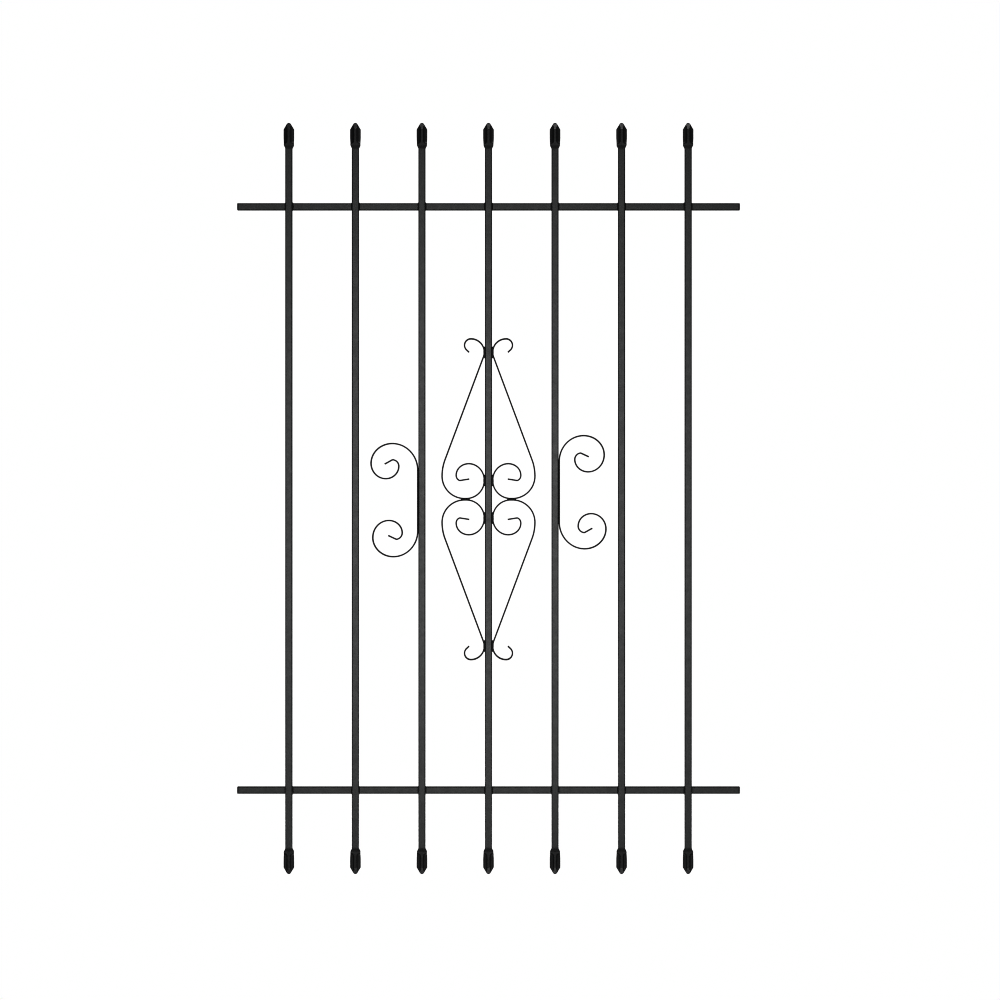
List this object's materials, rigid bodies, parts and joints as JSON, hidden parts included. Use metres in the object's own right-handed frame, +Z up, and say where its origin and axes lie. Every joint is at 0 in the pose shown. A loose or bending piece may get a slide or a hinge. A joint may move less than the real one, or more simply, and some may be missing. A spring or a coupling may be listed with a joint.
{
  "type": "window security bar",
  "caption": "Fixed steel window guard: spear-tipped square pickets welded across two rails, with lyre scrolls round the middle picket and a C-scroll at each side.",
  "frame": {"origin": "centre of the top rail's back face", "axes": "+X to the right seen from the front, +Y into the wall, +Z up"},
  "size_m": [0.919, 0.0289, 1.3716],
  "materials": {
    "rail_paint": "satin black powder coat",
    "picket_paint": "satin black powder coat",
    "finial_paint": "satin black powder coat over a casting",
    "scroll_paint": "satin black powder coat",
    "weld_paint": "black powder coat over weld bead",
    "plug_plastic": "matt black moulded plastic"
  },
  "bodies": {
    "root": {"bottom_rail": "rail_paint", "c_scroll_left": "scroll_paint", "c_scroll_right": "scroll_paint", "c_scroll_weld_left": "weld_paint", "c_scroll_weld_right": "weld_paint", "crossing_weld_bottom_1": "weld_paint", "crossing_weld_bottom_2": "weld_paint", "crossing_weld_bottom_3": "weld_paint", "crossing_weld_bottom_4": "weld_paint", "crossing_weld_bottom_5": "weld_paint", "crossing_weld_bottom_6": "weld_paint", "crossing_weld_bottom_7": "weld_paint", "crossing_weld_top_1": "weld_paint", "crossing_weld_top_2": "weld_paint", "crossing_weld_top_3": "weld_paint", "crossing_weld_top_4": "weld_paint", "crossing_weld_top_5": "weld_paint", "crossing_weld_top_6": "weld_paint", "crossing_weld_top_7": "weld_paint", "finial_bottom_1": "finial_paint", "finial_bottom_2": "finial_paint", "finial_bottom_3": "finial_paint", "finial_bottom_4": "finial_paint", "finial_bottom_5": "finial_paint", "finial_bottom_6": "finial_paint", "finial_bottom_7": "finial_paint", "finial_top_1": "finial_paint", "finial_top_2": "finial_paint", "finial_top_3": "finial_paint", "finial_top_4": "finial_paint", "finial_top_5": "finial_paint", "finial_top_6": "finial_paint", "finial_top_7": "finial_paint", "lyre_meeting_weld_left": "weld_paint", "lyre_meeting_weld_right": "weld_paint", "lyre_scroll_lower_left": "scroll_paint", "lyre_scroll_lower_right": "scroll_paint", "lyre_scroll_upper_left": "scroll_paint", "lyre_scroll_upper_right": "scroll_paint", "lyre_tip_weld_lower_left": "weld_paint", "lyre_tip_weld_lower_right": "weld_paint", "lyre_tip_weld_upper_left": "weld_paint", "lyre_tip_weld_upper_right": "weld_paint", "lyre_volute_weld_lower_left": "weld_paint", "lyre_volute_weld_lower_right": "weld_paint", "lyre_volute_weld_upper_left": "weld_paint", "lyre_volute_weld_upper_right": "weld_paint", "picket_1": "picket_paint", "picket_2": "picket_paint", "picket_3": "picket_paint", "picket_4": "picket_paint", "picket_5": "picket_paint", "picket_6": "picket_paint", "picket_7": "picket_paint", "rail_plug_bottom_left": "plug_plastic", "rail_plug_bottom_right": "plug_plastic", "rail_plug_top_left": "plug_plastic", "rail_plug_top_right": "plug_plastic", "top_rail": "rail_paint"}
  },
  "joints": []
}
